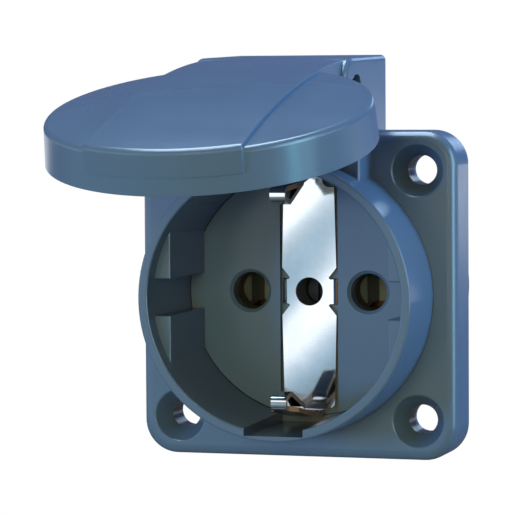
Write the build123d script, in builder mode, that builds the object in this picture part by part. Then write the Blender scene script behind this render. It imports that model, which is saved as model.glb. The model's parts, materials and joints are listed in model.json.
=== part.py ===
from build123d import *
import math
import os

os.makedirs("parts", exist_ok=True)

# Frame: X to the right, Y into the wall, Z up. The flange's back face is y = 0, the socket's
# axis is the Y axis, and the front of the socket faces -Y. All sizes are in millimetres.

# Flange and its four screws
flange_size = 50.0
flange_margin = 3.5
flange_thickness = 8.0
flange_corner = 5.2
flange_front_edge = 1.5
screw_margin = 6.0
screw_hole_radius = 2.25
countersink_radius = 4.0
countersink_angle = 55.0
countersink_edge = 0.3

# Collar, recess and floor
recess_draft = 0.4
collar_front = 21.0
collar_wall = 1.45
collar_draft = 0.3
rim_edge = 0.3
floor_depth = 19.5
floor_thickness = 2.7
floor_gap = 0.1
notch_width = 9.2
notch_depth = 1.0
land_depth = 2.35
land_front_drop = 2.9
land_slot = 5.6
land_edge = 0.25

# Pin holes and the channel for the earth strap
pin_spacing = 19.0
pin_hole_radius = 2.9
pin_hole_chamfer = 0.5
pin_guide_depth = 5.7
strap_channel_width = 9.3

# Rear spigot and the boss of the centre screw
spigot_wall = 1.55
spigot_length = 8.0
boss_radius = 3.0
boss_length = 7.4
boss_seat = 1.6

# Gasket behind the flange
gasket_thickness = 1.0
gasket_inset = 1.5
gasket_gap = 0.15
gasket_bore_gap = 0.7
pad_radius = 3.6

# Hinge block and lid hinge
hinge_back = 18.4
hinge_height = 31.9
block_half_width = 12.0
block_front = 15.2
block_top = 36.5
block_foot = 17.0
block_edge = 0.45
block_top_edge = 0.8
nose_radius = 4.2
nose_gap = 0.25
hood_thickness = 1.0
knuckle_gap = 0.3
knuckle_side_gap = 0.25
cheek_width = 2.7
hood_angle = 124.0
stop_gap_angle = 4.0
pin_radius = 1.1
pin_running_gap = 0.05
pin_end_edge = 0.2
pocket_radius = 1.65
pocket_reach = 1.1
pocket_front = 1.4
pocket_depth = 2.0
core_wall = 2.6
core_front_wall = 3.6

# Lid
lid_opening = 75.6
lid_face_gap = 2.6
lid_rim_gap = 0.3
lid_draft = 0.35
lid_skirt = 5.8
lid_edge = 0.8
lid_crown = 1.6
lid_wall = 1.55
lid_rim_plate = 1.6
lid_plate = 1.6
band_half_width = 11.2
band_rise = 0.6
band_proud = 0.45
band_wrap = 3.25
band_edge = 0.2
seal_width = 2.6
seal_thickness = 0.9
seal_side_gap = 0.1
seal_seat_gap = 0.2
seal_edge = 0.3

# Earth bracket: one folded sheet
sheet = 0.75
strap_half_width = 4.35
strap_end_half_width = 4.05
strap_shoulder_start = 3.25
strap_recess = 0.15
strap_bottom_gap = 1.35
strap_top_gap = 3.15
strap_hole_radius = 2.2
strap_corner = 0.45
waist_half_height = 1.9
waist_half_width = 3.35
waist_notch = 0.25
waist_shoulder = 3.7
leg_bend = 0.6
leg_slot_gap = 0.1
leg_slot_relief = 0.3
arm_half_width = 2.15
arm_bend = 0.9
arm_foot_gap = 0.15
arm_back_rise = 2.625
arm_back_gap = 0.39
arm_front_drop = 3.8
arm_front_gap = 2.9
arm_taper_start = 6.4
arm_taper_end = 4.6
clip_half_width = 1.2
clip_bend = 0.5
clip_front_drop = 3.25
clip_turn_gap = 4.35
clip_crest_drop = 5.8
clip_crest_gap = 4.9
clip_tip_drop = 13.0
clip_tip_gap = 2.15

# Contact carrier and terminal cover with the contacts and terminals
block_shoulder_step = 0.3
block_rear = 19.5
block_fit_gap = 0.2
block_rear_edge = 0.8
chamber_size = 7.0
contact_sheet = 0.6
contact_gap = 4.4
contact_mouth = 5.8
contact_front_gap = 0.4
contact_mouth_length = 1.6
contact_base = 13.2
contact_leaf_height = 4.8
contact_spring_sheet = 0.4
contact_spring_gap = 0.25
contact_spring_drop = 1.8
contact_spring_rear = 10.8
terminal_offset = 9.0
terminal_body_width = 6.6
terminal_body_height = 6.6
terminal_body_length = 3.8
terminal_pocket_gap = 0.2
plate_width = 6.6
plate_height = 6.6
plate_thickness = 1.2
plate_edge = 0.3
earth_plate_thickness = 1.2
earth_terminal_offset = 10.6
earth_plate_half_width = 4.9
earth_plate_top = 3.2
earth_plate_bottom = 15.2
wire_slot_width = 4.4

# Screws
terminal_screw_radius = 1.75
terminal_thread_gap = 0.05
terminal_head_radius = 2.8
terminal_head_height = 2.2
terminal_head_edge = 0.6
terminal_screw_reach = 5.4
driver_slot_width = 0.9
driver_slot_depth = 1.1
cross_slot_length = 3.36
centre_screw_radius = 1.5
centre_head_radius = 2.1
centre_head_height = 1.8
centre_bore_radius = 2.3
centre_clearance_radius = 1.7

# Sizes and places that follow from those above
screw_spacing = flange_size - 2 * screw_margin
collar_root_radius = flange_size / 2 - flange_margin
collar_rim_radius = collar_root_radius - collar_draft
recess_rim_radius = collar_rim_radius - collar_wall
recess_floor_radius = recess_rim_radius - recess_draft
notch_reach = recess_floor_radius + notch_depth
land_flat = recess_floor_radius - land_depth
spigot_radius = recess_floor_radius + spigot_wall
gasket_bore_radius = spigot_radius + gasket_bore_gap
block_shoulder_radius = spigot_radius - block_shoulder_step
lid_top_radius = collar_rim_radius + lid_rim_gap + lid_wall
lid_bottom_radius = lid_top_radius + lid_draft
strap_bottom = recess_floor_radius - strap_bottom_gap
strap_top = recess_floor_radius - strap_top_gap
floor_face = floor_depth - collar_front
floor_back = floor_face + floor_thickness
strap_front = floor_face + strap_recess
strap_back = strap_front + sheet
boss_end = floor_back + boss_length
centre_seat = boss_end - boss_seat
pin_guide_end = floor_face + pin_guide_depth
contact_front = pin_guide_end + contact_front_gap
contact_spring_front = contact_front + contact_spring_drop
terminal_face = contact_base + contact_sheet
cheek_inner = block_half_width - cheek_width
knuckle_half_width = cheek_inner - knuckle_side_gap
slot_radius = nose_radius - hood_thickness
knuckle_radius = slot_radius - knuckle_gap
leg_centre = waist_half_width + leg_bend + 0.05
hinge_centre = (-hinge_back, hinge_height)


def ray_point(centre, angle, reach):
    """The point at a distance from a centre along an angle in degrees."""
    turn = math.radians(angle)
    return (centre[0] + reach * math.cos(turn), centre[1] + reach * math.sin(turn))


def arc_points(centre, radius, start, end):
    """Start, middle and end of an arc about a centre, with its angles in degrees."""
    return [ray_point(centre, angle, radius) for angle in (start, (start + end) / 2, end)]


# The hinge block: a profile in the YZ plane with a round nose about the hinge axis
nose_reach = math.hypot(hinge_back, block_top - hinge_height)
top_slope = math.degrees(
    math.asin(nose_radius / nose_reach) - math.atan2(block_top - hinge_height, hinge_back)
)
nose_start, nose_middle, nose_end = arc_points(hinge_centre, nose_radius, 90.0 + top_slope, 270.0)

with BuildPart() as hinge_block:
    with BuildSketch(Plane.YZ) as block_side:
        with BuildLine():
            Polyline((-block_front, nose_end[1]), (-block_front, block_foot), (0, block_foot),
                     (0, block_top), nose_start)
            ThreePointArc(nose_start, nose_middle, nose_end)
            Line(nose_end, (-block_front, nose_end[1]))
        make_face()
    extrude(amount=block_half_width, both=True)
    side_edges = hinge_block.faces().filter_by(Axis.X).edges()
    nose_edges = side_edges.filter_by(GeomType.CIRCLE)
    top_edges = side_edges.filter_by(GeomType.LINE).group_by(Axis.Z)[-1]
    fillet(nose_edges + top_edges, block_top_edge)
    front_edges = hinge_block.faces().filter_by(Axis.X).edges().filter_by(Axis.Z)
    fillet(front_edges.filter_by_position(Axis.Y, -block_front, -block_front), block_edge)

# Housing: flange, collar, side lands, hinge block and rear spigot in one moulding
with BuildPart() as housing:
    with BuildSketch(Plane.XZ):
        RectangleRounded(flange_size, flange_size, flange_corner)
    extrude(amount=flange_thickness)
    fillet(housing.faces().sort_by(Axis.Y)[0].edges(), flange_front_edge)
    add(hinge_block.part)
    with BuildSketch(Plane.XY):
        with BuildLine():
            Polyline((0, 0), (collar_root_radius, 0), (collar_root_radius, -flange_thickness),
                     (collar_rim_radius, -collar_front), (0, -collar_front), (0, 0))
        make_face()
    revolve(axis=Axis.Y)
    with BuildSketch(Plane.XZ):
        Circle(spigot_radius)
    extrude(amount=-spigot_length)
    # Recess for the plug, open at the rear, where the floor and the contact carrier go in
    with BuildSketch(Plane.XY):
        with BuildLine():
            Polyline((0, spigot_length), (recess_floor_radius, spigot_length),
                     (recess_floor_radius, floor_face), (recess_rim_radius, -collar_front),
                     (0, -collar_front), (0, spigot_length))
        make_face()
    revolve(axis=Axis.Y, mode=Mode.SUBTRACT)
    fillet(housing.faces().filter_by(Axis.Y).sort_by(Axis.Y)[0].edges(), rim_edge)
    with BuildSketch(Plane.XZ.offset(-floor_face)):
        Circle((recess_rim_radius + collar_rim_radius) / 2)
        Rectangle(2 * land_flat, 4 * land_flat, mode=Mode.SUBTRACT)
        Rectangle(4 * land_flat, land_slot, mode=Mode.SUBTRACT)
    extrude(amount=floor_depth - land_front_drop)
    land_front = land_front_drop - collar_front
    land_edges = housing.edges().filter_by_position(Axis.Y, land_front - 0.01, land_front + 0.01)
    fillet(land_edges.filter_by(GeomType.LINE), land_edge)
    with BuildSketch(Plane.XZ.offset(-floor_face)):
        Rectangle(notch_width, 2 * notch_reach)
    extrude(amount=floor_depth, mode=Mode.SUBTRACT)
    with BuildSketch(Plane.XZ.offset(-strap_back)):
        Rectangle(strap_channel_width, 2 * notch_reach)
    extrude(amount=strap_back - floor_face, mode=Mode.SUBTRACT)
    # Flange screws
    with Locations(Plane.XZ.offset(flange_thickness)):
        with GridLocations(screw_spacing, screw_spacing, 2, 2):
            CounterSinkHole(screw_hole_radius, countersink_radius, flange_thickness, countersink_angle)
    mouth_edges = housing.edges().filter_by(GeomType.CIRCLE).filter_by_position(
        Axis.Y, -flange_thickness, -flange_thickness
    )
    fillet(mouth_edges.filter_by(lambda edge: edge.radius == countersink_radius), countersink_edge)
    # Seat of the gasket, around the spigot and the pads of the four screws
    with BuildSketch(Plane.XZ):
        RectangleRounded(flange_size - 2 * gasket_inset, flange_size - 2 * gasket_inset,
                         flange_corner - gasket_inset)
        Circle(gasket_bore_radius, mode=Mode.SUBTRACT)
        with GridLocations(screw_spacing, screw_spacing, 2, 2):
            Circle(pad_radius, mode=Mode.SUBTRACT)
    extrude(amount=gasket_thickness, mode=Mode.SUBTRACT)
    # Hinge: slot for the lid's knuckle under a thin hood, core behind, pin bores and side pockets
    with BuildSketch(Plane.YZ):
        with Locations(hinge_centre):
            Circle(slot_radius)
        with BuildLine():
            Polyline(hinge_centre, ray_point(hinge_centre, hood_angle, 4 * nose_radius),
                     (-2 * hinge_back, block_top), (-2 * hinge_back, collar_root_radius),
                     (-block_front, collar_root_radius), (-block_front, hinge_height), hinge_centre)
        make_face()
    extrude(amount=cheek_inner, both=True, mode=Mode.SUBTRACT)
    with BuildSketch(Plane.XZ):
        with Locations((0, (flange_size / 2 + block_top - core_wall + 0.6) / 2)):
            Rectangle(2 * (block_half_width - core_wall), block_top - core_wall - flange_size / 2 - 0.6)
    extrude(amount=block_front - core_front_wall, mode=Mode.SUBTRACT)
    with BuildSketch(Plane.YZ):
        with Locations(hinge_centre):
            Circle(pin_radius)
    extrude(amount=block_half_width, both=True, mode=Mode.SUBTRACT)
    for cheek_side in (-1, 1):
        with BuildSketch(Plane.YZ.offset(cheek_side * block_half_width)):
            with Locations((pocket_front + pocket_reach / 2 - hinge_back, hinge_height)):
                SlotCenterToCenter(pocket_reach, 2 * pocket_radius)
        extrude(amount=-cheek_side * pocket_depth, mode=Mode.SUBTRACT)
housing.part.label = "housing"
export_step(housing.part, "parts/housing.step")

# Floor of the recess: a plate against the backs of the lands, with the channel of the earth strap,
# slots for the bracket's legs, the pin holes, and the centre screw's boss behind
with BuildPart() as recess_floor:
    with BuildSketch(Plane.XZ.offset(-floor_face)):
        Circle(recess_floor_radius - floor_gap)
    extrude(amount=-floor_thickness)
    with BuildSketch(Plane.XZ.offset(-floor_back)):
        Circle(boss_radius)
    extrude(amount=-boss_length)
    with BuildSketch(Plane.XZ.offset(-strap_back)):
        Rectangle(strap_channel_width, 2 * notch_reach)
    extrude(amount=strap_back - floor_face, mode=Mode.SUBTRACT)
    with BuildSketch(Plane.XZ.offset(-floor_back)):
        with Locations((leg_slot_relief / 2 - leg_centre, 0), (leg_centre - leg_slot_relief / 2, 0)):
            Rectangle(sheet + 2 * leg_slot_gap + leg_slot_relief,
                      2 * (waist_half_height + leg_slot_gap))
    extrude(amount=floor_thickness, mode=Mode.SUBTRACT)
    with Locations(Plane.XZ.offset(-floor_face)):
        with GridLocations(pin_spacing, 0, 2, 1):
            CounterSinkHole(pin_hole_radius, pin_hole_radius + pin_hole_chamfer, floor_thickness, 90)
    with BuildSketch(Plane.XZ.offset(-centre_seat)):
        Circle(centre_bore_radius)
    extrude(amount=centre_seat - floor_face, mode=Mode.SUBTRACT)
    with BuildSketch(Plane.XZ.offset(-boss_end)):
        Circle(centre_clearance_radius)
    extrude(amount=boss_seat, mode=Mode.SUBTRACT)
recess_floor.part.label = "recess_floor"
export_step(recess_floor.part, "parts/recess_floor.step")

# Gasket: flat rubber sheet in its seat behind the flange
with BuildPart() as flange_gasket:
    with BuildSketch(Plane.XZ):
        RectangleRounded(flange_size - 2 * (gasket_inset + gasket_gap),
                         flange_size - 2 * (gasket_inset + gasket_gap),
                         flange_corner - gasket_inset - gasket_gap)
        Circle(gasket_bore_radius + gasket_gap, mode=Mode.SUBTRACT)
        with GridLocations(screw_spacing, screw_spacing, 2, 2):
            Circle(pad_radius + gasket_gap, mode=Mode.SUBTRACT)
    extrude(amount=gasket_thickness)
flange_gasket.part.label = "flange_gasket"
export_step(flange_gasket.part, "parts/flange_gasket.step")

# Hinge pin, pressed into the cheeks and free to turn in the knuckle
pin_half_length = block_half_width - pocket_depth
with BuildPart() as hinge_pin:
    with BuildSketch(Plane.YZ.offset(-pin_half_length)):
        with Locations(hinge_centre):
            Circle(pin_radius)
    extrude(amount=2 * pin_half_length)
    chamfer(hinge_pin.edges().filter_by(GeomType.CIRCLE), pin_end_edge)
hinge_pin.part.label = "hinge_pin"
export_step(hinge_pin.part, "parts/hinge_pin.step")

# The lid's own frame: x across, y towards the hinge, z out of its face. Shut, its centre lies on
# the socket's axis, and the opening turns it about the hinge.
shut_centre = (hinge_back - collar_front - lid_face_gap, -hinge_height)
opening = math.radians(-lid_opening)
lid_centre_y = -hinge_back + shut_centre[0] * math.cos(opening) - shut_centre[1] * math.sin(opening)
lid_centre_z = hinge_height + shut_centre[0] * math.sin(opening) + shut_centre[1] * math.cos(opening)
lid_frame = Plane(
    origin=(0, lid_centre_y, lid_centre_z),
    x_dir=(1, 0, 0),
    z_dir=(0, -math.cos(opening), -math.sin(opening)),
)
lid_radial = Plane(origin=lid_frame.origin, x_dir=lid_frame.x_dir, z_dir=-lid_frame.y_dir)
lid_side = Plane(origin=lid_frame.origin, x_dir=lid_frame.y_dir, z_dir=lid_frame.x_dir)
lid_axis = Axis(lid_frame.origin, lid_frame.z_dir)
lid_hinge = (hinge_height, shut_centre[0])
crown_radius = (lid_top_radius**2 + lid_crown**2) / (2 * lid_crown)
seal_outer_radius = lid_top_radius - lid_wall + seal_seat_gap - seal_side_gap
seal_inner_radius = seal_outer_radius - seal_width

# The raised band: a domed blank cut to its plan and its side view
band_front_radius = lid_top_radius + band_proud
band_reach = hinge_height + nose_radius
stop_angle = hood_angle + stop_gap_angle + lid_opening
stop_turn = math.radians(stop_angle)
stop_direction = (math.sin(stop_turn), -math.cos(stop_turn))
stop_inner = (lid_hinge[0] + slot_radius * stop_direction[0],
              lid_hinge[1] + slot_radius * stop_direction[1])
stop_outer = (lid_hinge[0] + 3 * nose_radius * stop_direction[0],
              lid_hinge[1] + 3 * nose_radius * stop_direction[1])
web_foot = (lid_top_radius, -0.6 * lid_skirt)
web_back = (lid_hinge[0] - 0.4 * knuckle_radius, lid_hinge[1] - 0.9 * knuckle_radius)

with BuildPart() as lid_band:
    with BuildSketch(lid_side):
        with BuildLine():
            Polyline((-band_front_radius, -band_wrap), (-band_front_radius, stop_outer[1]),
                     stop_outer, stop_inner, lid_hinge, web_back, web_foot,
                     (lid_top_radius - lid_wall, -band_wrap), (-band_front_radius, -band_wrap))
        make_face()
    extrude(amount=band_half_width, both=True)
    with Locations(lid_frame.offset(lid_crown - crown_radius)):
        Sphere(crown_radius + band_rise, rotation=(90, 0, 0), mode=Mode.INTERSECT)
    with BuildSketch(lid_frame.offset(-4 * lid_skirt)):
        Circle(band_front_radius)
        with Locations((0, band_reach)):
            Rectangle(4 * band_half_width, 2 * band_reach)
    extrude(amount=8 * lid_skirt, mode=Mode.INTERSECT)
    dome_face = lid_band.faces().filter_by(GeomType.SPHERE)[0]
    front_face = lid_band.faces().filter_by(GeomType.CYLINDER)[0]
    front_edge = [edge for edge in dome_face.edges() if edge in front_face.edges()]
    fillet(front_edge, lid_edge)
    top_edges = lid_band.faces().filter_by(lambda face: face.geom_type != GeomType.PLANE).edges()
    band_sides = lid_band.faces().filter_by(Axis.X).edges()
    fillet([edge for edge in band_sides if edge in top_edges], band_edge)
    for wing_side in (-1, 1):
        with BuildSketch(lid_side.offset(wing_side * knuckle_half_width)):
            with Locations(lid_hinge):
                Circle(nose_radius + nose_gap)
        extrude(amount=wing_side * block_half_width, mode=Mode.SUBTRACT)

# Hollow underside of the lid: a flat ring for the seal, and a domed ceiling within it
with BuildPart() as lid_hollow:
    with BuildSketch(lid_radial):
        with BuildLine():
            Polyline((0, lid_skirt), (0, -2 * lid_skirt),
                     (lid_bottom_radius - lid_wall, -2 * lid_skirt),
                     (seal_outer_radius + seal_side_gap, -lid_rim_plate),
                     (seal_inner_radius - seal_side_gap, -lid_rim_plate),
                     (seal_inner_radius - seal_side_gap, lid_skirt), (0, lid_skirt))
        make_face()
    revolve(axis=lid_axis)
    with Locations(lid_frame.offset(lid_crown - lid_plate - crown_radius)):
        Sphere(crown_radius, rotation=(90, 0, 0), mode=Mode.INTERSECT)

# Lid: domed disc with a skirt, the raised band, and the knuckle on the pin
with BuildPart() as lid:
    with BuildSketch(lid_radial):
        with BuildLine():
            Polyline((0, lid_skirt), (0, -lid_skirt), (lid_bottom_radius, -lid_skirt),
                     (2 * lid_top_radius - lid_bottom_radius, lid_skirt), (0, lid_skirt))
        make_face()
    revolve(axis=lid_axis)
    with Locations(lid_frame.offset(lid_crown - crown_radius)):
        Sphere(crown_radius, rotation=(90, 0, 0), mode=Mode.INTERSECT)
    closed_edges = lid.edges().filter_by(lambda edge: edge.is_closed)
    fillet(closed_edges.sort_by(lid_axis)[-1], lid_edge)
    add(lid_band.part)
    with BuildSketch(lid_side):
        with Locations(lid_hinge):
            Circle(knuckle_radius)
    extrude(amount=knuckle_half_width, both=True)
    add(lid_hollow.part, mode=Mode.SUBTRACT)
    with BuildSketch(lid_side):
        with Locations(lid_hinge):
            Circle(pin_radius + pin_running_gap)
    extrude(amount=block_half_width, both=True, mode=Mode.SUBTRACT)
lid.part.label = "lid"
export_step(lid.part, "parts/lid.step")

# Seal: rubber ring under the lid's edge, which meets the collar's rim when the lid is shut
with BuildPart() as lid_seal:
    with BuildSketch(lid_radial):
        with BuildLine():
            Polyline((seal_inner_radius, -lid_rim_plate), (seal_outer_radius, -lid_rim_plate),
                     (seal_outer_radius, -lid_rim_plate - seal_thickness),
                     (seal_inner_radius, -lid_rim_plate - seal_thickness),
                     (seal_inner_radius, -lid_rim_plate))
        make_face()
    revolve(axis=lid_axis)
    fillet(lid_seal.edges().group_by(lid_axis)[0], seal_edge)
lid_seal.part.label = "lid_seal"
export_step(lid_seal.part, "parts/lid_seal.step")

# Earth bracket: strap on the floor, legs folded back at its waist, sprung clips at both ends
strap_mid = strap_front + sheet / 2
leg_end = terminal_face + earth_plate_thickness + 0.3
arm_foot = recess_floor_radius - arm_foot_gap
arm_back = (arm_back_rise - strap_mid, recess_floor_radius - arm_back_gap)
arm_front = (collar_front - arm_front_drop, recess_floor_radius - arm_front_gap)
shoulder_radius = strap_shoulder_start - arm_half_width
arm_slope = (arm_back[1] - arm_front[1]) / (arm_front[0] - arm_back[0])
clip_front = clip_front_drop - collar_front
clip_turn_outer = arm_front[1] - arm_slope * (-clip_front - arm_front[0])
clip_turn_inner = recess_floor_radius - clip_turn_gap
clip_crest = (clip_crest_drop - collar_front, recess_floor_radius - clip_crest_gap)
clip_tip = (clip_tip_drop - collar_front, recess_floor_radius - clip_tip_gap)
taper_start = collar_front - arm_taper_start
taper_end = collar_front - arm_taper_end

with BuildPart() as earth_bracket:
    with BuildSketch(Plane.XZ.offset(-strap_back)):
        with BuildLine():
            Polyline((0, -strap_bottom), (strap_end_half_width - strap_corner, -strap_bottom),
                     (strap_end_half_width, strap_corner - strap_bottom),
                     (strap_half_width, -waist_shoulder),
                     (waist_half_width - waist_notch, -waist_half_height - waist_notch),
                     (waist_half_width, -waist_half_height), (waist_half_width, waist_half_height),
                     (waist_half_width - waist_notch, waist_half_height + waist_notch),
                     (strap_half_width, waist_shoulder), (strap_end_half_width, strap_top),
                     (strap_shoulder_start, strap_top))
            ThreePointArc(*arc_points((strap_shoulder_start, strap_top + shoulder_radius),
                                      shoulder_radius, 270.0, 180.0))
            Polyline((arm_half_width, strap_top + shoulder_radius), (arm_half_width, strap_bottom),
                     (0, strap_bottom), (0, -strap_bottom))
        make_face()
        mirror(about=Plane.YZ)
        Circle(strap_hole_radius, mode=Mode.SUBTRACT)
    extrude(amount=sheet)
    for leg_side in (-1, 1):
        with BuildSketch(Plane.XY):
            with BuildLine():
                FilletPolyline((leg_side * (waist_half_width - 0.2), strap_mid),
                               (leg_side * leg_centre, strap_mid),
                               (leg_side * leg_centre, leg_end), radius=leg_bend)
            trace(line_width=sheet)
        extrude(amount=waist_half_height, both=True)
    for arm_side in (-1, 1):
        with BuildSketch(Plane.YZ):
            with BuildLine():
                FilletPolyline((strap_mid, arm_side * (strap_bottom - 0.6)),
                               (strap_mid, arm_side * arm_foot),
                               (-arm_back[0], arm_side * arm_back[1]),
                               (-arm_front[0], arm_side * arm_front[1]), radius=arm_bend)
            trace(line_width=sheet)
        extrude(amount=arm_half_width, both=True)
    for taper_side in (-1, 1):
        with BuildSketch(Plane.XY.offset(-strap_bottom - 4)):
            with BuildLine():
                Polyline((taper_side * clip_half_width, -taper_end),
                         (taper_side * arm_half_width, -taper_start),
                         (taper_side * 2 * arm_half_width, -taper_start),
                         (taper_side * 2 * arm_half_width, -2 * taper_end),
                         (taper_side * clip_half_width, -2 * taper_end),
                         (taper_side * clip_half_width, -taper_end))
            make_face()
        extrude(amount=2 * strap_bottom + 8, mode=Mode.SUBTRACT)
    for clip_side in (-1, 1):
        with BuildSketch(Plane.YZ):
            with BuildLine():
                FilletPolyline((-arm_back[0], clip_side * arm_back[1]),
                               (clip_front, clip_side * clip_turn_outer),
                               (clip_front, clip_side * clip_turn_inner),
                               (clip_crest[0], clip_side * clip_crest[1]),
                               (clip_tip[0], clip_side * clip_tip[1]), radius=clip_bend)
            trace(line_width=sheet)
        extrude(amount=clip_half_width, both=True)
earth_bracket.part.label = "earth_bracket"
export_step(earth_bracket.part, "parts/earth_bracket.step")

# Contact carrier: closes the housing from behind and holds the contacts
with BuildPart() as contact_carrier:
    with BuildSketch(Plane.XZ.offset(-floor_back)):
        Circle(recess_floor_radius - block_fit_gap)
    extrude(amount=-(spigot_length - floor_back))
    with BuildSketch(Plane.XZ.offset(-spigot_length)):
        Circle(block_shoulder_radius)
    extrude(amount=-(terminal_face - spigot_length))
    # Round guides for the plug's pins, and the chambers of the contacts behind them
    with BuildSketch(Plane.XZ.offset(-floor_back)):
        with GridLocations(pin_spacing, 0, 2, 1):
            Circle(pin_hole_radius)
    extrude(amount=-(pin_guide_end - floor_back), mode=Mode.SUBTRACT)
    with BuildSketch(Plane.XZ.offset(-pin_guide_end)):
        with GridLocations(pin_spacing, 0, 2, 1):
            Rectangle(chamber_size, chamber_size)
    extrude(amount=-(terminal_face - pin_guide_end), mode=Mode.SUBTRACT)
    with BuildSketch(Plane.XZ.offset(terminal_body_length - contact_base)):
        with Locations((-pin_spacing / 2, terminal_offset), (pin_spacing / 2, terminal_offset)):
            Rectangle(terminal_body_width + 2 * terminal_pocket_gap,
                      terminal_body_height + 2 * terminal_pocket_gap)
    extrude(amount=-(terminal_body_length + contact_sheet), mode=Mode.SUBTRACT)
    with BuildSketch(Plane.XZ.offset(-contact_base)):
        with Locations((-pin_spacing / 2, terminal_offset / 2), (pin_spacing / 2, terminal_offset / 2)):
            Rectangle(contact_leaf_height + 2 * terminal_pocket_gap, terminal_offset)
    extrude(amount=-contact_sheet, mode=Mode.SUBTRACT)
    # Passages for the bracket's legs, the recess floor's boss, the centre screw and the earth screw
    with BuildSketch(Plane.XZ.offset(-floor_back)):
        with Locations((-leg_centre, 0), (leg_centre, 0)):
            Rectangle(sheet + 2 * leg_slot_gap, 2 * (waist_half_height + leg_slot_gap))
        Circle(centre_clearance_radius)
    extrude(amount=-(terminal_face - floor_back), mode=Mode.SUBTRACT)
    with BuildSketch(Plane.XZ.offset(-floor_back)):
        Circle(boss_radius + leg_slot_gap)
    extrude(amount=-(boss_length + leg_slot_gap), mode=Mode.SUBTRACT)
    with BuildSketch(Plane.XZ.offset(-terminal_face)):
        with Locations((0, -earth_terminal_offset)):
            Circle(terminal_screw_radius + block_fit_gap)
    extrude(amount=terminal_screw_reach, mode=Mode.SUBTRACT)
contact_carrier.part.label = "contact_carrier"
export_step(contact_carrier.part, "parts/contact_carrier.step")

# Terminal cover: the rear moulding, with pockets for the screws and slots for the wires
with BuildPart() as terminal_cover:
    with BuildSketch(Plane.XZ.offset(-terminal_face)):
        Circle(block_shoulder_radius)
    extrude(amount=-(block_rear - terminal_face))
    fillet(terminal_cover.faces().sort_by(Axis.Y)[-1].edges(), block_rear_edge)
    with BuildSketch(Plane.XZ.offset(-terminal_face)):
        with Locations((-pin_spacing / 2, terminal_offset), (pin_spacing / 2, terminal_offset)):
            Rectangle(plate_width + 2 * terminal_pocket_gap, plate_height + 2 * terminal_pocket_gap)
        with Locations((-pin_spacing / 2, 2 * terminal_offset), (pin_spacing / 2, 2 * terminal_offset)):
            Rectangle(wire_slot_width, 2 * terminal_offset)
        with Locations((0, (earth_plate_top - earth_plate_bottom) / 2)):
            Rectangle(2 * (earth_plate_half_width + terminal_pocket_gap),
                      earth_plate_top + earth_plate_bottom + 2 * terminal_pocket_gap)
        with Locations((0, -2 * earth_terminal_offset)):
            Rectangle(wire_slot_width, 2 * terminal_offset)
    extrude(amount=-(block_rear - terminal_face), mode=Mode.SUBTRACT)
terminal_cover.part.label = "terminal_cover"
export_step(terminal_cover.part, "parts/terminal_cover.step")

# Pin contacts: two sprung leaves on a base, and a tongue that reaches into the terminal
leaf_centre = (contact_gap + contact_sheet) / 2
mouth_centre = (contact_mouth + contact_sheet) / 2
for side, sign in (("left", -1), ("right", 1)):
    contact_x = sign * pin_spacing / 2
    with BuildPart() as contact:
        with BuildSketch(Plane.XY):
            with BuildLine():
                FilletPolyline((contact_x - mouth_centre, contact_front),
                               (contact_x - leaf_centre, contact_front + contact_mouth_length),
                               (contact_x - leaf_centre, contact_base + contact_sheet / 2),
                               (contact_x + leaf_centre, contact_base + contact_sheet / 2),
                               (contact_x + leaf_centre, contact_front + contact_mouth_length),
                               (contact_x + mouth_centre, contact_front), radius=0.5)
            trace(line_width=contact_sheet)
        extrude(amount=contact_leaf_height / 2, both=True)
        with BuildSketch(Plane.XZ.offset(-contact_base)):
            with Locations((contact_x, terminal_offset / 2)):
                Rectangle(contact_leaf_height, terminal_offset)
            with Locations((contact_x, terminal_offset)):
                Rectangle(plate_width, plate_height)
                Circle(terminal_screw_radius + block_fit_gap, mode=Mode.SUBTRACT)
        extrude(amount=-contact_sheet)
    contact.part.label = f"contact_{side}"
    export_step(contact.part, f"parts/contact_{side}.step")

    with BuildPart() as contact_spring:
        with BuildSketch(Plane.XZ.offset(-contact_spring_rear)):
            with BuildLine():
                spring_x = (contact_gap + contact_spring_sheet) / 2 + contact_sheet
                spring_z = (contact_leaf_height + contact_spring_sheet) / 2 + contact_spring_gap
                FilletPolyline((contact_x - spring_x, -spring_z), (contact_x - spring_x, spring_z),
                               (contact_x + spring_x, spring_z), (contact_x + spring_x, -spring_z),
                               radius=contact_spring_sheet)
            trace(line_width=contact_spring_sheet)
        extrude(amount=contact_spring_rear - contact_spring_front)
    contact_spring.part.label = f"contact_spring_{side}"
    export_step(contact_spring.part, f"parts/contact_spring_{side}.step")

    with BuildPart() as terminal_body:
        with BuildSketch(Plane.XZ.offset(-contact_base)):
            with Locations((contact_x, terminal_offset)):
                Rectangle(terminal_body_width, terminal_body_height)
                Circle(terminal_screw_radius + terminal_thread_gap, mode=Mode.SUBTRACT)
        extrude(amount=terminal_body_length)
    terminal_body.part.label = f"terminal_body_{side}"
    export_step(terminal_body.part, f"parts/terminal_body_{side}.step")

# Earth terminal: brass plate on the bracket's legs, tapped for the centre and earth screws
with BuildPart() as earth_terminal:
    with BuildSketch(Plane.XZ.offset(-terminal_face)):
        with Locations((0, (earth_plate_top - earth_plate_bottom) / 2)):
            Rectangle(2 * earth_plate_half_width, earth_plate_top + earth_plate_bottom)
        with Locations((-leg_centre, 0), (leg_centre, 0)):
            Rectangle(sheet + leg_slot_gap, 2 * waist_half_height + leg_slot_gap, mode=Mode.SUBTRACT)
        Circle(centre_screw_radius + terminal_thread_gap, mode=Mode.SUBTRACT)
        with Locations((0, -earth_terminal_offset)):
            Circle(terminal_screw_radius + terminal_thread_gap, mode=Mode.SUBTRACT)
    extrude(amount=-earth_plate_thickness)
earth_terminal.part.label = "earth_terminal"
export_step(earth_terminal.part, "parts/earth_terminal.step")

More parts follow.
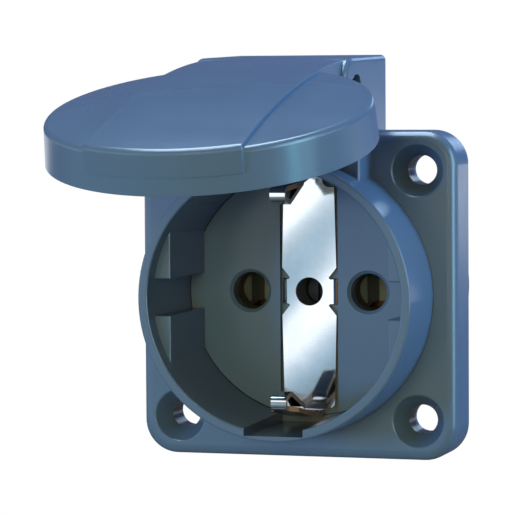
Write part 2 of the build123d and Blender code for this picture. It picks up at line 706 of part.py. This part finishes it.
# Clamp plates and screws of the three terminals
terminals = (
    ("left", -pin_spacing / 2, terminal_offset, terminal_face),
    ("right", pin_spacing / 2, terminal_offset, terminal_face),
    ("earth", 0.0, -earth_terminal_offset, terminal_face + earth_plate_thickness),
)
for name, across, height, seat in terminals:
    with BuildPart() as clamp_plate:
        with BuildSketch(Plane.XZ.offset(-seat)):
            with Locations((across, height)):
                Rectangle(plate_width, plate_height)
                Circle(terminal_screw_radius + block_fit_gap, mode=Mode.SUBTRACT)
        extrude(amount=-plate_thickness)
        chamfer(clamp_plate.faces().sort_by(Axis.Y)[-1].outer_wire().edges(), plate_edge)
    clamp_plate.part.label = f"clamp_plate_{name}"
    export_step(clamp_plate.part, f"parts/clamp_plate_{name}.step")

    head_seat = seat + plate_thickness
    with BuildPart() as terminal_screw:
        with BuildSketch(Plane.XZ.offset(-head_seat)):
            with Locations((across, height)):
                Circle(terminal_head_radius)
        extrude(amount=-terminal_head_height)
        fillet(terminal_screw.faces().sort_by(Axis.Y)[-1].edges(), terminal_head_edge)
        with BuildSketch(Plane.XZ.offset(-head_seat)):
            with Locations((across, height)):
                Circle(terminal_screw_radius)
        extrude(amount=terminal_screw_reach)
        with BuildSketch(Plane.XZ.offset(-head_seat - terminal_head_height)):
            with Locations((across, height)):
                Rectangle(driver_slot_width, 2 * terminal_head_radius)
                Rectangle(cross_slot_length, driver_slot_width)
        extrude(amount=driver_slot_depth, mode=Mode.SUBTRACT)
    terminal_screw.part.label = f"terminal_screw_{name}"
    export_step(terminal_screw.part, f"parts/terminal_screw_{name}.step")

# Centre screw: its head seats in the recess floor's boss and its end is in the earth terminal
with BuildPart() as centre_screw:
    with BuildSketch(Plane.XZ.offset(-centre_seat)):
        Circle(centre_head_radius)
    extrude(amount=centre_head_height)
    with BuildSketch(Plane.XZ.offset(-centre_seat)):
        Circle(centre_screw_radius)
    extrude(amount=-(terminal_face + earth_plate_thickness - centre_seat))
    with BuildSketch(Plane.XZ.offset(centre_head_height - centre_seat)):
        Rectangle(driver_slot_width, 2 * centre_head_radius)
    extrude(amount=-driver_slot_depth, mode=Mode.SUBTRACT)
centre_screw.part.label = "centre_screw"
export_step(centre_screw.part, "parts/centre_screw.step")
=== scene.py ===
import json
import math

import bpy
from mathutils import Matrix, Vector

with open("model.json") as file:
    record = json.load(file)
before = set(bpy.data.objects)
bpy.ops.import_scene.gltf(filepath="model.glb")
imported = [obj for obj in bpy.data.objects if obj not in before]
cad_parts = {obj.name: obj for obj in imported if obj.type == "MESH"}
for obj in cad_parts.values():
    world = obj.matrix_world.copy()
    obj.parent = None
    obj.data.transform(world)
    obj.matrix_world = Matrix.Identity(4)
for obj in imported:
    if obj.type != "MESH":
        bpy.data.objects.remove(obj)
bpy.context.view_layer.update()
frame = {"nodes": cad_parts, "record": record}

scene = bpy.context.scene

# Lengths are in metres, angles in degrees and lamp powers in watts of red, green and blue. The object
# is at the origin and faces -Y. An azimuth of 0 is straight in front of it, and 90 is towards +X.

WHITE = (1.0, 1.0, 1.0)

# Moulded plastic and rubber: scales of the noise, and the range of it that is used
FLOW_SCALE = 45.0
CLOUD_SCALE = 160.0
GRAIN_SCALE = 2600.0
GRAIN_HEIGHT = 0.00004
NOISE_RANGE = (0.3, 0.7)

# Painted shade: closed corners and recesses keep only a share of the darker shade's red, green and blue
PAINTED_SHADE_REACH = 0.006
PAINTED_SHADE_SAMPLES = 8
PAINTED_SHADE_RANGE = (0.05, 0.50)
PAINTED_SHADE_SHARE = (0.9, 0.5, 0.19)

# Metal: tarnish, polish, waviness and scratches
TARNISH_SCALE = 220.0
TARNISH_RANGE = (0.35, 0.75)
POLISH_SCALE = 700.0
WAVE_HEIGHT = 0.0006
SCRATCH_SCALE = 4000.0
SCRATCH_HEIGHT = 0.00002

# Slanting waves that rolling left in the earth bracket's sheet, and its bare cut edges
ROLL_DIRECTION = (0.743, 0.0, -0.669)
ROLL_PITCH = 0.0171
ROLL_PHASE = -2.0
ROLL_HEIGHT = 0.00013
ROLL_WANDER = 0.003
ROLL_WANDER_SCALE = 60.0
CUT_COLOUR = (0.42, 0.36, 0.26)
CUT_METALLIC = 0.4
CUT_ROUGHNESS = 0.5
CUT_RANGE = (0.7, 0.9)

# Camera at the photograph's place, with its sensor's width in millimetres
CAMERA_AZIMUTH = 17.327
CAMERA_ELEVATION = 3.478
CAMERA_ROLL = -0.384
CAMERA_TARGET = (-0.008781, 0.0, 0.005086)
CAMERA_DISTANCE = 0.482919
FOCAL_LENGTH_PIXELS = 3095.017
PHOTO_WIDTH_PIXELS = 515.0
SENSOR_WIDTH = 36.0
CAMERA_CLIP = (0.01, 20.0)

# Floor: white to the camera, pale around the object where its shadow falls
FLOOR_HEIGHT = -0.075
FLOOR_REACH = 6.0
SHADOW_RADIUS = 0.30
SHADOW_WHITENESS = 0.45
FLOOR_SEEN = (0.80, 0.80, 0.80)
FLOOR_BOUNCE = (0.28, 0.25, 0.22)

# Surroundings: their soft ambient light, and what the object mirrors of them and of the floor
AMBIENT = (0.72, 0.38, 0.08)
GLOSS_NEAR = (0.10, 0.10, 0.09)
GLOSS_LOW = (0.36, 0.52, 0.65)
GLOSS_HIGH = (1.20, 1.28, 1.36)
GLOSS_UPPER = (0.16, 0.14, 0.12)
GLOSS_BACK = (0.11, 0.13, 0.26)
# Distance from the object, and the floor's mirrored colour there, in front and behind
FRONT_SHADES = ((0.10, GLOSS_NEAR), (0.60, GLOSS_LOW), (2.00, GLOSS_HIGH))
BACK_SHADES = ((0.10, GLOSS_NEAR), (1.10, GLOSS_BACK), (2.00, GLOSS_HIGH))
FLOOR_BACK_RANGE = (-0.10, 0.15)
SKY_BACK_RANGE = (-0.3, 0.6)
SKY_UPPER_RANGE = (0.12, 0.35)

# Lamps that light: azimuth, elevation, size and power
LAMP_DISTANCE = 1.2
LAMPS = {
    "key_light": (-38, 2, 0.25, (4.5, 6.6, 7.6)),
    "low_light": (8, 4, 0.2, (5.0, 2.8, 1.0)),
    "front_light": (4, 9, 0.3, (6.5, 4.6, 1.6)),
    "top_light": (180, 83, 0.8, (8.0, 11.5, 13.0)),
    "side_light": (104, 12, 0.35, (8.0, 12.5, 14.0)),
}
# Soft boxes that are only mirrored: place, width and height, power, and turn about the vertical for those
# that stand upright. One with no turn faces the object.
SHINES = {
    "top_shine": ((-0.16, 0.0, 1.2), (1.3, 0.7), (23.0, 30.0, 35.0), None),
    "side_shine": ((0.24, -0.115, 0.04), (0.03, 0.21), (0.024, 0.084, 0.108), 90),
    "right_shine": ((0.60, -0.21, 0.19), (0.34, 0.53), (1.6, 3.1, 3.9), 90),
    "back_shine": ((0.16, 1.13, 0.32), (0.3, 0.22), (0.22, 0.30, 0.38), 180),
}


def direction(azimuth, elevation):
    """The unit vector from the object towards an azimuth and an elevation."""
    turn = math.radians(azimuth)
    rise = math.radians(elevation)
    return Vector((math.sin(turn) * math.cos(rise), -math.cos(turn) * math.cos(rise), math.sin(rise)))


# Helpers for shader nodes

def add_node(tree, kind, inputs=(), **settings):
    """A node with its settings. Each input has a name or number, and a value or another node's output."""
    node = tree.nodes.new(kind)
    for name, value in settings.items():
        setattr(node, name, value)
    for key, value in dict(inputs).items():
        if isinstance(value, bpy.types.NodeSocket):
            tree.links.new(value, node.inputs[key])
        else:
            node.inputs[key].default_value = value
    return node


def new_material(name):
    material = bpy.data.materials.new(name)
    material.use_nodes = True
    material.node_tree.nodes.clear()
    return material, material.node_tree


def finish(tree, kind, shader):
    """Join a shader to the tree's output node."""
    add_node(tree, kind, {"Surface": shader})


def noise(tree, place, scale, detail=3.0, roughness=0.5):
    inputs = {"Vector": place, "Scale": scale, "Detail": detail, "Roughness": roughness}
    return add_node(tree, "ShaderNodeTexNoise", inputs).outputs["Fac"]


def remap(tree, value, span, to_span=(0.0, 1.0)):
    """Carry a value from one range over to another, and hold it at the ends."""
    inputs = {"Value": value}
    inputs["From Min"], inputs["From Max"] = span
    inputs["To Min"], inputs["To Max"] = to_span
    return add_node(tree, "ShaderNodeMapRange", inputs).outputs["Result"]


def calculate(tree, operation, *values):
    return add_node(tree, "ShaderNodeMath", enumerate(values), operation=operation).outputs[0]


def colour_input(colour):
    """Another node's output as it is, or red, green and blue with an alpha of 1."""
    return colour if isinstance(colour, bpy.types.NodeSocket) else (*colour, 1.0)


def mix_colour(tree, share, one, two):
    """The first colour at a share of 0, and the second at 1."""
    # The Mix node takes its two colours at inputs 6 and 7, and gives their mix at output 2
    inputs = {0: share, 6: colour_input(one), 7: colour_input(two)}
    return add_node(tree, "ShaderNodeMix", inputs, data_type="RGBA").outputs[2]


def mix_shader(tree, share, one, two):
    inputs = {0: share, 1: one, 2: two}
    return add_node(tree, "ShaderNodeMixShader", inputs).outputs[0]


def bump(tree, height, strength, distance, below=None):
    inputs = {"Height": height, "Strength": strength, "Distance": distance}
    if below is not None:
        inputs["Normal"] = below
    return add_node(tree, "ShaderNodeBump", inputs).outputs["Normal"]


def object_place(tree):
    return add_node(tree, "ShaderNodeTexCoord").outputs["Object"]


# Finishes

def plastic(name, light, dark, roughness, grain, specular=0.5):
    """Moulded piece: slight flow marks in its colour, painted shade in closed corners, uneven gloss and a
    fine grain.
    """
    material, tree = new_material(name)
    place = object_place(tree)
    flow = remap(tree, noise(tree, place, FLOW_SCALE, detail=4.0, roughness=0.55), NOISE_RANGE)
    clouds = noise(tree, place, CLOUD_SCALE)
    grains = noise(tree, place, GRAIN_SCALE, detail=2.0, roughness=0.6)
    # Painted shade: ambient occlusion darkens and browns the colour in closed corners and recesses
    occlusion = add_node(tree, "ShaderNodeAmbientOcclusion", {"Distance": PAINTED_SHADE_REACH},
                            samples=PAINTED_SHADE_SAMPLES)
    unshaded_share = remap(tree, occlusion.outputs["AO"], PAINTED_SHADE_RANGE)
    painted_corner_shade = tuple(value * share for value, share in zip(dark, PAINTED_SHADE_SHARE))
    colour = mix_colour(tree, unshaded_share, painted_corner_shade, mix_colour(tree, flow, light, dark))
    shader = add_node(tree, "ShaderNodeBsdfPrincipled", {
        "Base Color": colour,
        "Specular IOR Level": specular,
        "Roughness": remap(tree, clouds, NOISE_RANGE, roughness),
        "Normal": bump(tree, grains, grain, GRAIN_HEIGHT),
    })
    finish(tree, "ShaderNodeOutputMaterial", shader.outputs[0])
    return material


def rolled(tree, place, below):
    """Long slanting waves across a rolled sheet, which wander a little."""
    directions = {0: place, 1: ROLL_DIRECTION}
    across = add_node(tree, "ShaderNodeVectorMath", directions, operation="DOT_PRODUCT").outputs["Value"]
    wander = noise(tree, place, ROLL_WANDER_SCALE, detail=1.0, roughness=0.4)
    travel = calculate(tree, "MULTIPLY_ADD", wander, ROLL_WANDER, across)
    angle = calculate(tree, "MULTIPLY_ADD", travel, 2 * math.pi / ROLL_PITCH, ROLL_PHASE)
    return bump(tree, calculate(tree, "SINE", angle), 1.0, ROLL_HEIGHT, below)


def cut_edges(tree, plated):
    """Bare metal on the sheet's edges that face sideways, and the plated shader elsewhere."""
    normal = add_node(tree, "ShaderNodeNewGeometry").outputs["True Normal"]
    facing = add_node(tree, "ShaderNodeSeparateXYZ", {0: normal})
    sideways = calculate(tree, "ABSOLUTE", facing.outputs["X"])
    bare = add_node(tree, "ShaderNodeBsdfPrincipled", {
        "Base Color": (*CUT_COLOUR, 1.0),
        "Metallic": CUT_METALLIC,
        "Roughness": CUT_ROUGHNESS,
    })
    return mix_shader(tree, remap(tree, sideways, CUT_RANGE), plated, bare.outputs[0])


def metal(name, light, dark, roughness, wave, wave_scale, scratch=0.1, metallic=1.0, sheet=False):
    """Plated or bare metal: faint tarnish, uneven polish, waviness and fine scratches."""
    material, tree = new_material(name)
    place = object_place(tree)
    tarnish = remap(tree, noise(tree, place, TARNISH_SCALE, detail=4.0, roughness=0.6), TARNISH_RANGE)
    polish = noise(tree, place, POLISH_SCALE, detail=3.0, roughness=0.6)
    waves = noise(tree, place, wave_scale, detail=1.0, roughness=0.4)
    scratches = noise(tree, place, SCRATCH_SCALE, detail=2.0, roughness=0.6)
    relief = bump(tree, waves, wave, WAVE_HEIGHT)
    if sheet:
        relief = rolled(tree, place, relief)
    shader = add_node(tree, "ShaderNodeBsdfPrincipled", {
        "Base Color": mix_colour(tree, tarnish, light, dark),
        "Metallic": metallic,
        "Roughness": remap(tree, polish, NOISE_RANGE, roughness),
        "Normal": bump(tree, scratches, scratch, SCRATCH_HEIGHT, relief),
    }).outputs[0]
    if sheet:
        shader = cut_edges(tree, shader)
    finish(tree, "ShaderNodeOutputMaterial", shader)
    return material


# Each finish: its two shades, its range of roughness, the strength of its grain or waves, and a metal's
# scale of waves
blue = plastic("blue_plastic", (0.045, 0.106, 0.250), (0.041, 0.099, 0.236), (0.20, 0.26), 0.06)
grey = plastic("grey_plastic", (0.050, 0.052, 0.055), (0.040, 0.042, 0.045), (0.45, 0.55), 0.2)
rubber = plastic("black_rubber", (0.030, 0.030, 0.031), (0.022, 0.022, 0.023), (0.6, 0.75), 0.3,
                 specular=0.3)
nickel = metal("nickel", (0.90, 0.92, 0.94), (0.78, 0.80, 0.80), (0.06, 0.10), 0.04, 60.0,
               scratch=0.05, sheet=True)
brass = metal("brass", (0.34, 0.26, 0.14), (0.22, 0.16, 0.08), (0.30, 0.42), 0.1, 120.0)
steel = metal("steel", (0.56, 0.56, 0.57), (0.46, 0.46, 0.45), (0.25, 0.38), 0.1, 150.0)
# Painted shade: the screw deep in the strap is made near black, standing in for the shade in its hole
screw_painted_shade = metal("screw_painted_shade", (0.10, 0.10, 0.10), (0.06, 0.06, 0.06), (0.35, 0.50), 0.1, 150.0)
# Painted shade: the contacts take a dark bluish grey that stands in for the shade deep in the pin holes
contact_painted_shade = metal("contact_painted_shade", (0.09, 0.15, 0.22), (0.06, 0.10, 0.16), (0.45, 0.60), 0.1, 150.0,
                     metallic=0.1)

finish_of_slot = {
    "blue_plastic": blue,
    "grey_plastic": grey,
    "black_rubber": rubber,
    "nickel": nickel,
    "brass": brass,
    "steel": steel,
}
# Painted shade: the screw deep in the strap and the contacts at the bottom of the pin holes are darkened
finish_of_node = {"centre_screw": screw_painted_shade, "contact_left": contact_painted_shade, "contact_right": contact_painted_shade}

slot_of_node = {entry["node"]: entry["material_slot"] for entry in frame["record"]["subparts"]}
for node_name, node_object in frame["nodes"].items():
    for slot in node_object.material_slots:
        slot.material = finish_of_node.get(node_name, finish_of_slot[slot_of_node[node_name]])

# Camera
roll = math.radians(CAMERA_ROLL)
back = direction(CAMERA_AZIMUTH, CAMERA_ELEVATION)
right = direction(CAMERA_AZIMUTH + 90, 0)
up = back.cross(right)
rolled_right = right * math.cos(roll) + up * math.sin(roll)
rolled_up = up * math.cos(roll) - right * math.sin(roll)
camera_data = bpy.data.cameras.new("camera")
camera_data.sensor_fit = "HORIZONTAL"
camera_data.sensor_width = SENSOR_WIDTH
camera_data.lens = SENSOR_WIDTH * FOCAL_LENGTH_PIXELS / PHOTO_WIDTH_PIXELS
camera_data.clip_start, camera_data.clip_end = CAMERA_CLIP
camera = bpy.data.objects.new("camera", camera_data)
scene.collection.objects.link(camera)
camera.matrix_world = (Matrix.Translation(Vector(CAMERA_TARGET) + back * CAMERA_DISTANCE)
                       @ Matrix((rolled_right, rolled_up, back)).transposed().to_4x4())
scene.camera = camera

# Floor
floor_corners = [(across * FLOOR_REACH, along * FLOOR_REACH, FLOOR_HEIGHT)
                 for across, along in ((-1, -1), (1, -1), (1, 1), (-1, 1))]
floor_mesh = bpy.data.meshes.new("floor")
floor_mesh.from_pydata(floor_corners, [], [(0, 1, 2, 3)])
floor = bpy.data.objects.new("floor", floor_mesh)
scene.collection.objects.link(floor)


def floor_shade(tree, distance, shades):
    """The mirrored colour of the floor at a distance from the object."""
    farthest = shades[-1][0]
    ramp = add_node(tree, "ShaderNodeValToRGB", {0: remap(tree, distance, (0.0, farthest))})
    stops = ramp.color_ramp.elements
    for index, (far, colour) in enumerate(shades):
        stop = stops[index] if index < len(stops) else stops.new(1.0)
        stop.position = far / farthest
        stop.color = (*colour, 1.0)
    return ramp.outputs[0]


def floor_finish():
    """Pale matt floor that glows white for the camera, and in the mirrored colours for reflections."""
    material, tree = new_material("floor_white")
    position = add_node(tree, "ShaderNodeNewGeometry").outputs["Position"]
    distance = add_node(tree, "ShaderNodeVectorMath", {0: position}, operation="LENGTH").outputs["Value"]
    rays = add_node(tree, "ShaderNodeLightPath").outputs
    depth = add_node(tree, "ShaderNodeSeparateXYZ", {0: position}).outputs["Y"]
    front = floor_shade(tree, distance, FRONT_SHADES)
    behind = floor_shade(tree, distance, BACK_SHADES)
    mirrored = mix_colour(tree, remap(tree, depth, FLOOR_BACK_RANGE), front, behind)
    glow_colour = mix_colour(tree, rays["Is Camera Ray"], mirrored, WHITE)
    matt_colour = mix_colour(tree, rays["Is Camera Ray"], FLOOR_BOUNCE, FLOOR_SEEN)
    whiteness = remap(tree, distance, (0.0, SHADOW_RADIUS), (SHADOW_WHITENESS, 1.0))
    share = calculate(tree, "MULTIPLY_ADD", whiteness, rays["Is Camera Ray"], rays["Is Glossy Ray"])
    matt = add_node(tree, "ShaderNodeBsdfDiffuse", {"Color": matt_colour})
    glow = add_node(tree, "ShaderNodeEmission", {"Color": glow_colour})
    finish(tree, "ShaderNodeOutputMaterial", mix_shader(tree, share, matt.outputs[0], glow.outputs[0]))
    return material


floor_mesh.materials.append(floor_finish())


# Surroundings

def background(tree, colour):
    return add_node(tree, "ShaderNodeBackground", {"Color": colour_input(colour)}).outputs[0]


def add_world():
    """White for the camera, a soft ambient light, and bands of colour that glossy surfaces mirror."""
    world = bpy.data.worlds.new("studio")
    world.use_nodes = True
    tree = world.node_tree
    tree.nodes.clear()
    rays = add_node(tree, "ShaderNodeLightPath").outputs
    seen = calculate(tree, "MAXIMUM", rays["Is Camera Ray"], rays["Is Transmission Ray"])
    generated = add_node(tree, "ShaderNodeTexCoord").outputs["Generated"]
    heading = add_node(tree, "ShaderNodeSeparateXYZ", {0: generated}).outputs
    front = mix_colour(tree, remap(tree, heading["Z"], SKY_UPPER_RANGE), GLOSS_HIGH, GLOSS_UPPER)
    mirrored = mix_colour(tree, remap(tree, heading["Y"], SKY_BACK_RANGE), front, GLOSS_BACK)
    light = mix_shader(tree, rays["Is Glossy Ray"], background(tree, AMBIENT), background(tree, mirrored))
    finish(tree, "ShaderNodeOutputWorld", mix_shader(tree, seen, light, background(tree, WHITE)))
    return world


scene.world = add_world()


# Lamps

def add_lamp(name, place, size, power):
    """An area lamp that faces the object and that the camera doesn't see."""
    data = bpy.data.lights.new(name, "AREA")
    data.shape = "RECTANGLE"
    data.size, data.size_y = size
    data.energy = max(power)
    data.color = tuple(value / max(power) for value in power)
    lamp = bpy.data.objects.new(name, data)
    scene.collection.objects.link(lamp)
    lamp.location = place
    lamp.rotation_euler = (-Vector(place)).to_track_quat("-Z", "Y").to_euler()
    lamp.visible_camera = False
    return lamp


for lamp_name, (azimuth, elevation, size, power) in LAMPS.items():
    place = LAMP_DISTANCE * direction(azimuth, elevation)
    lamp = add_lamp(lamp_name, place, (size, size), power)
    lamp.visible_glossy = False

for shine_name, (place, size, power, turn) in SHINES.items():
    shine = add_lamp(shine_name, place, size, power)
    shine.visible_diffuse = False
    if turn is not None:
        shine.rotation_euler = (math.radians(90), 0.0, math.radians(turn))

scene.view_settings.view_transform = "Standard"
